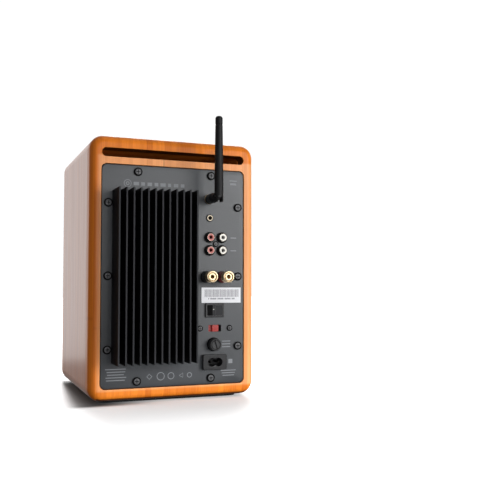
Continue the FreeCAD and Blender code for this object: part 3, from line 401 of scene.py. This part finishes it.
def powder_coat(name, colour, rough):
    def make(g):
        p = g.place()
        cells = g.add("ShaderNodeTexVoronoi", in0=p, Scale=1500.0).outputs["Distance"]
        cloud = g.noise(p, 18.0)
        orange_peel = g.noise(p, 900.0)
        height = g.plus(g.times(cells, 0.5), orange_peel)
        return dict(Base_Color=g.mix(cloud, rgb(colour, 0.88), rgb(colour, 1.12)),
                    Roughness=g.ramp(orange_peel, 0.2, 0.8, rough * 0.9, rough * 1.1),
                    Specular_IOR_Level=0.9, Normal=g.bump(height, 0.00006, 0.5))
    surface(name, make)


def finned(name, colour, tip_highlight, rough):
    """Black anodised extrusion whose fin tips are painted paler: a painted highlight where light
    catches the tips.
    """
    def make(g):
        p = g.place()
        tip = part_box("heatsink")[1].y
        fine = g.noise(p, 1500.0)
        # Painted highlight: the fin tips take a paler colour than the fins.
        share = g.ramp(g.split(p)[1], tip - 0.0003, tip - 0.0001)
        lines = g.noise(g.stretch(p, 900.0, 900.0, 25.0), 1.0)
        body = g.mix(lines, rgb(colour, 0.7), rgb(colour, 1.3))
        return dict(Base_Color=g.mix(share, body, rgb(tip_highlight)), Specular_IOR_Level=0.05,
                    Roughness=g.ramp(fine, 0.2, 0.8, rough * 0.9, rough * 1.1),
                    Normal=g.bump(lines, 0.00001, 0.4))
    surface(name, make)


def screw_steel(name, node, colour, face_colour):
    """Black oxide heads whose flat faces round the recess are painted paler: a painted highlight
    on each head.
    """
    def make(g):
        low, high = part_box(node)
        y = g.split(g.place())[1]
        # Painted highlight: the head's flat face is paler than its black sides.
        share = (g.ramp(y, high.y - 0.0006, high.y - 0.0003) if high.y > 0
                 else g.ramp(y, low.y + 0.0003, low.y + 0.0006, 1.0, 0.0))
        highlight_mottle = g.noise(g.place(), 900.0, 3.0)
        tone = g.mix(highlight_mottle, rgb(face_colour, 0.7), rgb(face_colour))
        return dict(Base_Color=g.mix(share, rgb(colour), tone), Metallic=0.4, Roughness=0.42,
                    Normal=g.bump(highlight_mottle, 0.00002, 0.4))
    surface(name, make)


def phono_insert(name, face_colour, rim_colour):
    """A moulded insert whose face is darker round the contact than at its rim."""
    def make(g):
        p = g.split(g.place())
        low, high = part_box(name)
        x, radius = (low.x + high.x) / 2, (high.x - low.x) / 2
        upper, lower = [g.length(g.minus(p[0], x), g.minus(p[2], z))
                        for z in (high.z - radius, low.z + radius)]
        share = g.ramp(g.math("MINIMUM", lower, upper), 0.0021, 0.0027)
        fine = g.noise(g.place(), 900.0)
        tone = g.mix(share, rgb(face_colour), rgb(rim_colour))
        tone = g.mix(g.times(fine, 0.12), tone, rgb(face_colour, 0.6))
        return dict(Base_Color=tone, Roughness=0.38, Coat_Weight=0.3,
                    Normal=g.bump(fine, 0.00001, 0.5))
    surface(name, make)


def jack_metal(name):
    """Plated lip round the 3.5 mm bore, set in a black nut."""
    def make(g):
        p = g.split(g.place())
        centre = middle("aux_jack")
        away = g.length(g.minus(p[0], centre.x), g.minus(p[2], centre.z))
        share = g.ramp(away, 0.0029, 0.0031, 1.0, 0.0)
        fine = g.noise(g.place(), 1200.0)
        tone = g.mix(share, (0.006, 0.006, 0.006, 1), (0.42, 0.36, 0.27, 1))
        return dict(Base_Color=tone, Metallic=g.times(share, 0.9),
                    Roughness=g.ramp(fine, 0.2, 0.8, 0.34, 0.42),
                    Normal=g.bump(fine, 0.00001, 0.4))
    surface(name, make)


def rocker_plastic(name):
    """Glossy black; the pressed half lies in the bezel's shade."""
    def make(g):
        x = g.split(g.place())[0]
        centre = middle("switch_rocker").x
        fine = g.noise(g.place(), 2000.0)
        share = g.ramp(x, centre + 0.0028, centre + 0.0018)
        return dict(Base_Color=g.mix(share, (0.0015, 0.0015, 0.0017, 1),
                                     (0.030, 0.031, 0.033, 1)),
                    Roughness=g.minus(0.9, g.times(share, 0.5)),
                    Specular_IOR_Level=0.3, Normal=g.bump(fine, 0.00001, 0.5))
    surface(name, make)


def brushed(name, colour, rough):
    """Metal with turning or brushing marks drawn out along Y."""
    def make(g):
        lines = g.noise(g.stretch(g.place(), 1600.0, 30.0, 1600.0), 1.0)
        return dict(Base_Color=g.mix(lines, rgb(colour, 0.8), rgb(colour, 1.1)), Metallic=1.0,
                    Roughness=g.ramp(lines, 0.3, 0.7, rough * 0.8, rough * 1.25),
                    Normal=g.bump(lines, 0.00001, 0.4))
    surface(name, make)


def woven(name, light_thread, dark_thread, pitch, depth):
    """Plain weave seen from the front: over and under threads on a diagonal grid."""
    def make(g):
        p = g.split(g.place())
        a = g.times(g.plus(p[0], p[2]), DIAGONAL / pitch)
        b = g.times(g.minus(p[0], p[2]), DIAGONAL / pitch)
        over = g.times(g.math("SINE", g.times(a, FULL_TURN)),
                       g.math("SINE", g.times(b, FULL_TURN)))
        share = g.ramp(over, -0.5, 0.5)
        fuzz = g.noise(g.place(), 2500.0)
        tone = g.mix(share, rgb(dark_thread), rgb(light_thread))
        tone = g.mix(g.times(fuzz, 0.25), tone, rgb(light_thread, 0.5))
        return dict(Base_Color=tone, Roughness=g.ramp(share, 0, 1, 0.42, 0.30),
                    Coat_Weight=0.25, Coat_Roughness=0.3, Normal=g.bump(over, depth, 0.7))
    surface(name, make)


def cloth(name, colour, pitch, rough=0.8):
    """Fine square weave seen from the front."""
    def make(g):
        p = g.split(g.place())
        over = g.times(g.math("SINE", g.times(p[0], FULL_TURN / pitch)),
                       g.math("SINE", g.times(p[2], FULL_TURN / pitch)))
        tone = g.mix(g.ramp(over, -1, 1), rgb(colour, 0.7), rgb(colour))
        return dict(Base_Color=tone, Roughness=rough, Sheen_Weight=0.3, Sheen_Roughness=0.4,
                    Normal=g.bump(over, 0.00005, 0.5))
    surface(name, make)


def board(name):
    """Solder mask with paler copper tracks under it."""
    def make(g):
        tracks = g.add("ShaderNodeTexBrick", in0=g.stretch(g.place(), 260, 260, 260),
                       Scale=1.0).outputs["Fac"]
        tone = g.mix(tracks, (0.012, 0.10, 0.035, 1), (0.03, 0.19, 0.07, 1))
        return dict(Base_Color=tone, Roughness=0.35, Coat_Weight=0.3,
                    Normal=g.bump(tracks, 0.00003, 0.4))
    surface(name, make)


def winding(name, colour, axis, pitch, metal):
    """Turns of wire or tape, wound side by side along one axis."""
    def make(g):
        p = g.split(g.place())
        turns = g.math("SINE", g.times(p[axis], FULL_TURN / pitch))
        tone = g.mix(g.ramp(turns, -1, 1), rgb(colour, 0.5), rgb(colour))
        return dict(Base_Color=tone, Roughness=0.35, Metallic=metal,
                    Normal=g.bump(turns, pitch * 0.3, 0.6))
    surface(name, make)


PLAIN = {
    "black_anodised": dict(colour=(0.006, 0.006, 0.0065), rough=0.36, spread=0.2, grain=1500.0),
    "black_steel": dict(colour=(0.010, 0.010, 0.010), rough=0.36, metal=0.3, grain=1500.0),
    "dull_black": dict(colour=(0.0022, 0.0022, 0.0024), rough=0.55, spread=0.2, grain=1500.0,
                       Specular_IOR_Level=0.12),
    "cap_black": dict(colour=(0.020, 0.020, 0.021), rough=0.5, spread=0.2, grain=1500.0),
    "ferrite": dict(colour=(0.055, 0.055, 0.058), rough=0.7, spread=0.3, grain=900.0,
                    depth=0.00008),
    "black_rubber": dict(colour=(0.006, 0.006, 0.0065), rough=0.55, grain=1800.0,
                         depth=0.00003, Specular_IOR_Level=0.3),
    "black_plastic": dict(colour=(0.010, 0.010, 0.011), rough=0.36, grain=2200.0),
    "red_plastic": dict(colour=(0.26, 0.014, 0.010), rough=0.28, spread=0.15, grain=900.0,
                        depth=0.00001, Coat_Weight=0.4),
    "white_plastic": dict(colour=(0.80, 0.79, 0.74), rough=0.32, spread=0.06, grain=900.0,
                          depth=0.00001, Coat_Weight=0.3),
    "label_film": dict(colour=(0.60, 0.61, 0.635), rough=0.45, spread=0.05, grain=400.0,
                       depth=0.00001),
    "basket_paint": dict(colour=(0.018, 0.018, 0.019), rough=0.45, grain=1600.0,
                         depth=0.00004),
    "capacitor_sleeve": dict(colour=(0.010, 0.014, 0.045), rough=0.22, spread=0.2,
                             grain=300.0, depth=0.00001, Coat_Weight=0.5),
    "fuse_glass": dict(colour=(0.88, 0.92, 0.93), rough=0.05, spread=0.03, grain=200.0,
                       depth=0.000002, Transmission_Weight=0.92, IOR=1.47),
    "lamp_lens": dict(colour=(0.70, 0.80, 0.90), rough=0.3, spread=0.05, grain=600.0,
                      depth=0.00001, Emission_Color=(0.55, 0.75, 1.0, 1),
                      Emission_Strength=2.2),
    "panel_print": dict(colour=(0.165, 0.173, 0.186), rough=0.5, spread=0.15, grain=800.0,
                        depth=0.000005),
    "label_ink": dict(colour=(0.09, 0.09, 0.11), rough=0.5, spread=0.15, grain=800.0,
                      depth=0.000005),
}
BRUSHED = {
    "plain_steel": ((0.60, 0.60, 0.61), 0.30),
    "gold_plate": ((0.94, 0.72, 0.45), 0.34),
    "gold_shade": ((0.42, 0.28, 0.15), 0.5),
    "nickel_plate": ((0.52, 0.47, 0.40), 0.34),
    # The plated inlet pins are darkened almost to black: painted shade deep in the inlet.
    "inlet_pins": ((0.03, 0.028, 0.026), 0.6),
}
SCREWS = ("panel_screws", "small_screws", "woofer_screws")
# Nodes whose material isn't simply the one of their slot in the record.
OWN_LOOK = {
    "heatsink": "finned", "rca_inserts_red": "rca_inserts_red",
    "rca_inserts_white": "rca_inserts_white", "switch_rocker": "rocker_plastic",
    "aux_jack": "jack_metal", "front_baffle": "bamboo_face", "rear_board": "bamboo_rear",
    "side_board_left": "bamboo_side", "side_board_right": "bamboo_side",
    "top_board": "bamboo_top", "bottom_board": "bamboo_top", "port_shelf": "bamboo_duct",
    "ac_pins": "inlet_pins", "rca_housing": "dull_black", "fuse_holder": "dull_black",
    "fuse_cap": "cap_black", **{node: f"{node}_steel" for node in SCREWS},
}


def make_materials():
    bamboo("bamboo_face", 0, 2)
    bamboo("bamboo_rear", 0, 2, coat=0.12, rear=True)
    # The side boards' tint of 0.9 is painted shade: they are darkened as if they took less light.
    bamboo("bamboo_side", 1, 2, tint=0.9, contrast=0.42)
    bamboo("bamboo_top", 1, 0, coat=0.0)
    # The port shelf's tint of 0.28 is painted shade deep inside the port.
    bamboo("bamboo_duct", 0, 1, tint=0.28)
    powder_coat("panel_paint", (0.017, 0.020, 0.024), 0.44)
    finned("finned", (0.0030, 0.0030, 0.0034), (0.030, 0.031, 0.034), 0.42)
    phono_insert("rca_inserts_red", (0.20, 0.016, 0.011), (0.40, 0.075, 0.052))
    phono_insert("rca_inserts_white", (0.40, 0.39, 0.36), (0.72, 0.70, 0.64))
    rocker_plastic("rocker_plastic")
    jack_metal("jack_metal")
    woven("woven_cone", (0.62, 0.42, 0.10), (0.20, 0.12, 0.03), 0.0034, 0.00025)
    cloth("silk", (0.014, 0.014, 0.016), 0.0005, 0.42)
    cloth("spider_cloth", (0.50, 0.30, 0.10), 0.0008)
    board("board_green")
    winding("winding_tape", (0.62, 0.40, 0.05), 2, 0.004, 0.0)
    winding("copper_coil", (0.70, 0.28, 0.12), 1, 0.0005, 1.0)
    for name, finish in PLAIN.items():
        plain(name, **finish)
    for name, finish in BRUSHED.items():
        brushed(name, *finish)
    for node in SCREWS:
        screw_steel(f"{node}_steel", node, (0.0025, 0.0025, 0.0025), (0.13, 0.13, 0.135))


def dress_nodes():
    slots = {s["node"]: s["material_slot"] for s in frame["record"]["subparts"]}
    for name, node in NODES.items():
        node.data.materials.clear()
        node.data.materials.append(MATERIALS[OWN_LOOK.get(name) or slots[name]])


def soften_edges(name, width, angle=35):
    """Breaks a CAD node's hard edges, which catch a thin line of light."""
    node = NODES[name]
    weld = node.modifiers.new("weld", "WELD")
    weld.merge_threshold = WELD
    bevel = node.modifiers.new("bevel", "BEVEL")
    bevel.width, bevel.segments = width, 2
    bevel.limit_method, bevel.angle_limit = "ANGLE", math.radians(angle)
    bevel.harden_normals = False
    bevel.use_clamp_overlap = True
    normals = node.modifiers.new("normals", "WEIGHTED_NORMAL")
    normals.keep_sharp = False
    normals.weight = 90


# ---------------------------------------------------------------- new pieces


def piece(name, bm, material, body, smooth=True):
    mesh = bpy.data.meshes.new(name)
    bmesh.ops.recalc_face_normals(bm, faces=bm.faces[:])
    bm.to_mesh(mesh)
    bm.free()
    for polygon in mesh.polygons:
        polygon.use_smooth = smooth
    made = bpy.data.objects.new(name, mesh)
    bpy.context.scene.collection.objects.link(made)
    mesh.materials.append(MATERIALS[material])
    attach(made, body)
    return made


def lathe(name, profile, centre, material, body, around=96, wave=None):
    """Turns a closed (radius, y) profile about the Y axis through centre.

    wave(radius, y, angle) changes the radius, as for knurling."""
    bm = bmesh.new()
    rings = []
    for radius, y in profile:
        if radius == 0:
            rings.append([bm.verts.new((centre.x, y, centre.z))])
            continue
        ring = []
        for k in range(around):
            angle = 2 * math.pi * k / around
            r = radius + (wave(radius, y, angle) if wave else 0.0)
            ring.append(bm.verts.new((
                centre.x + r * math.cos(angle), y, centre.z + r * math.sin(angle)
            )))
        rings.append(ring)
    for a, b in zip(rings, rings[1:] + rings[:1]):
        if len(a) == 1 and len(b) == 1:
            continue
        for k in range(around):
            n = (k + 1) % around
            corners = [a[k % len(a)], a[n % len(a)], b[n % len(b)], b[k % len(b)]]
            unique = list(dict.fromkeys(corners))
            if len(unique) > 2:
                bm.faces.new(unique)
    made = piece(name, bm, material, body)
    made.data.set_sharp_from_angle(angle=math.radians(35))
    return made


def tiles(name, boxes, level, material):
    """Thin rectangles on a face at Y = level: each is x, z, width, height."""
    bm = bmesh.new()
    for x, z, width, height in boxes:
        corners = []
        for y in (level - SUNK, level + PROUD):
            for sx, sz in ((-1, -1), (1, -1), (1, 1), (-1, 1)):
                corners.append(bm.verts.new((x + sx * width / 2, y, z + sz * height / 2)))
        low, high = corners[:4], corners[4:]
        bm.faces.new(low)
        bm.faces.new(high)
        for k in range(4):
            n = (k + 1) % 4
            bm.faces.new((low[k], low[n], high[n], high[k]))
    return piece(name, bm, material, "speaker", smooth=False)


def round_size(low, high):
    """Centre and radius of something round about Y, from its box."""
    return (low + high) / 2, (high.x - low.x) / 2


def make_label_print():
    """Bars of uneven width, and a row of blocks under them."""
    low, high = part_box("serial_label")
    width, tall = high.x - low.x, high.z - low.z
    margin, bar_step = width * 0.06, 0.00052
    boxes = []
    x, n = low.x + margin, 0
    while x < high.x - margin:
        n += 1
        thick = bar_step * (0.55 + (n * n * 7 + n * 3) % 3 * 0.30)
        boxes.append((x + thick / 2, low.z + tall * 0.63, thick, tall * 0.50))
        x += thick + bar_step * (0.75 + (n * 5 + n // 3) % 3 * 0.28)
    for k in range(26):
        if k % 7 != 3:
            boxes.append((low.x + width * (0.17 + 0.026 * k), low.z + tall * 0.27,
                          width * 0.017, tall * 0.10))
    tiles("label_bars", boxes, high.y, "label_ink")


def panel_ring(name, x, z, radius, wide, proud, around):
    """A printed outline on the panel: round, or with as few sides as around says."""
    low, high = FACE - SUNK, FACE + proud
    lathe(name, [(radius, low), (radius, high), (radius - wide, high), (radius - wide, low)],
          Vector((x, 0, z)), "panel_print", "speaker", around)


def make_panel_print():
    """Faint generic bars and shapes where the panel carries printing."""
    low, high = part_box("amp_panel")
    rca, fuse, inlet = middle("rca_housing"), middle("fuse_holder"), middle("ac_inlet")
    heading_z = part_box("heatsink")[1].z + 0.0080
    boxes = [(0.0415 - 0.0071 * k, heading_z, wide * 0.0008, 0.0036)
             for k, wide in enumerate((7, 5, 6, 5, 7, 4, 6, 5))]
    boxes += [(high.x - 0.0155 - 0.0005 * (k % 2), low.z + 0.0195 - 0.0028 * k,
               0.021 - 0.002 * (k % 3), 0.0009) for k in range(5)]
    boxes += [(rca.x - 0.0205, rca.z + z, 0.0065, 0.0011) for z in (0.0069, -0.0069)]
    boxes += [(fuse.x - 0.0145, fuse.z + 0.003 - 0.003 * k, 0.0095, 0.0009) for k in range(3)]
    boxes.append((inlet.x - 0.0190, inlet.z, 0.0045, 0.0045))
    boxes += [(-0.060, low.z + 0.0135 - 0.0026 * k, 0.017 - 0.002 * k, 0.0009)
              for k in range(3)]
    boxes.append((-0.0655, high.z - 0.0105, 0.0085, 0.0012))
    boxes.append((-0.0655, high.z - 0.0140, 0.0070, 0.0022))
    for k, radius in enumerate((0.0041, 0.0019)):
        panel_ring(f"panel_emblem_{k + 1}", 0.0505, heading_z, radius, 0.0008, 0.00006, 48)
    tiles("panel_marks", boxes, FACE, "panel_print")
    icons = ((0.0265, 0.0030, 4), (0.0145, 0.0042, 48), (0.0035, 0.0036, 48),
             (-0.0080, 0.0030, 3), (-0.0165, 0.0027, 48))
    for k, (x, radius, around) in enumerate(icons):
        panel_ring(f"panel_icon_{k + 1}", x, low.z + 0.0105, radius, 0.0007, PROUD, around)


def ribs(least_radius, low, high, depth, count, power=1):
    """Grooves round the band between the heights low and high, outside least_radius."""
    def wave(radius, y, angle):
        if low < y < high and radius > least_radius:
            return -depth * (0.5 + 0.5 * math.cos(angle * count)) ** power
        return 0.0
    return wave


def make_post_caps():
    """Gold caps with a knurled band, and ribbed grip rings behind them."""
    bore = 0.0040
    for colour, slot in (("black", "black_plastic"), ("red", "red_plastic")):
        cap = f"post_cap_{colour}"
        low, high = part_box(cap)
        centre, r = round_size(low, high)
        y0, y1 = low.y, high.y
        recess = y1 - 0.0016
        steps = [(bore, y0), (r - 0.0004, y0), (r, y0 + 0.0004), (r, y0 + 0.0010),
                 (r - 0.00005, y0 + 0.0012), (r - 0.00005, y1 - 0.0022), (r, y1 - 0.0020),
                 (r, y1 - 0.0006), (r - 0.0002, y1 - 0.0002), (r - 0.0006, y1),
                 (0.0049, y1), (0.0047, y1 - 0.0002), (0.0046, recess), (bore, recess)]
        washer_r, y = 0.00462, y1 - 0.0015
        lathe(f"{colour}_post_washer",
              [(bore, y), (bore, y - 0.00008), (washer_r, y - 0.00008), (washer_r, y)],
              centre, "gold_shade", f"{colour}_post_cap")
        made = lathe(f"{colour}_post_knurled_cap", steps, centre, "gold_plate",
                     f"{colour}_post_cap", around=240,
                     wave=ribs(r - 0.0002, y0 + 0.0011, y1 - 0.0021, 0.00016, 40))
        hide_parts(cap)

        ring = f"post_ring_{colour}"
        low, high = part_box(ring)
        centre, r = round_size(low, high)
        y0, y1 = low.y, high.y
        steps = [(bore, y0), (r - 0.0004, y0), (r, y0 + 0.0004), (r, y0 + 0.0010),
                 (r, y0 + 0.0013), (r, y1 - 0.0013), (r, y1 - 0.0010), (r, y1 - 0.0004),
                 (r - 0.0004, y1), (bore, y1)]
        made = lathe(f"{colour}_post_ribbed_ring", steps, centre, slot,
                     f"{colour}_post_ring", around=216,
                     wave=ribs(r - 0.0001, y0 + 0.0011, y1 - 0.0011, 0.00035, 18, 3))
        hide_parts(ring)


def islands(node):
    """Lowest and highest corner of each separate solid in a CAD node, from its own mesh."""
    bm = bmesh.new()
    bm.from_mesh(NODES[node].data)
    bmesh.ops.remove_doubles(bm, verts=bm.verts[:], dist=WELD)
    seen, found = set(), []
    for start in bm.verts:
        if start in seen:
            continue
        stack, group = [start], []
        seen.add(start)
        while stack:
            vert = stack.pop()
            group.append(vert.co.copy())
            for edge in vert.link_edges:
                other = edge.other_vert(vert)
                if other not in seen:
                    seen.add(other)
                    stack.append(other)
        low = Vector([min(c[k] for c in group) for k in range(3)])
        high = Vector([max(c[k] for c in group) for k in range(3)])
        found.append((low, high))
    bm.free()
    return sorted(found, key=lambda b: (round(b[0].x, 4), round(b[0].z, 4)))


def make_screw_rims():
    """Black rim round each screw head, as a cup washer."""
    base = FACE + SUNK
    for node, rim in (("panel_screws", 0.0009), ("small_screws", 0.0006)):
        for k, (low, high) in enumerate(islands(node)):
            centre, r = round_size(low, high)
            y = high.y
            lathe(f"{node}_rim_{k + 1}",
                  [(r + 0.0003, base), (r + 0.0003, y - 0.0005), (r - 0.0001, y - 0.0001),
                   (r - rim + 0.0001, y + 0.00005), (r - rim, y - 0.0002), (r - rim, base)],
                  centre, "dull_black", "speaker", around=48)


def surface_spot(node, x, z):
    """Point and normal where a line along Y at (x, z), from the rear, first meets a CAD node."""
    bm = bmesh.new()
    bm.from_mesh(NODES[node].data)
    tree = BVHTree.FromBMesh(bm)
    point, normal, _, _ = tree.ray_cast(Vector((x, 0.5, z)), Vector((0, -1, 0)))
    bm.free()
    return point, normal


def make_rocker_mark():
    """Small white dot moulded into the raised half of the rocker."""
    spot = middle("switch_rocker")
    point, normal = surface_spot("switch_rocker", spot.x + 0.0011, spot.z + 0.0008)
    turn = Vector((0, 1, 0)).rotation_difference(normal).to_matrix()
    made = lathe("rocker_mark", [(0.00062, -0.0001), (0.00062, 0.00005), (0.0005, 0.00010),
                                 (0.0, 0.00012), (0.0, -0.0001)],
                 Vector((0, 0, 0)), "white_plastic", "power_rocker", around=32)
    for vert in made.data.vertices:
        vert.co = turn @ vert.co + point


def make_fuse_rim():
    """Raised ring on the fuse cap's face."""
    low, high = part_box("fuse_cap")
    centre, r = round_size(low, high)
    y = high.y
    lathe("fuse_cap_ring", [(r * 0.80, y - 0.0001), (r * 0.80, y + 0.00015),
                            (r * 0.77, y + 0.0002), (r * 0.72, y + 0.0002),
                            (r * 0.69, y + 0.00015), (r * 0.69, y - 0.0001)],
          centre, "dull_black", "fuse_cover", around=72)


make_camera()
make_room()
make_materials()
dress_nodes()
soften_edges("heatsink", 0.00018)
soften_edges("ac_inlet", 0.00025)
soften_edges("switch_housing", 0.0002)
soften_edges("amp_panel", 0.0002, angle=50)
make_label_print()
make_panel_print()
make_post_caps()
make_screw_rims()
make_rocker_mark()
make_fuse_rim()
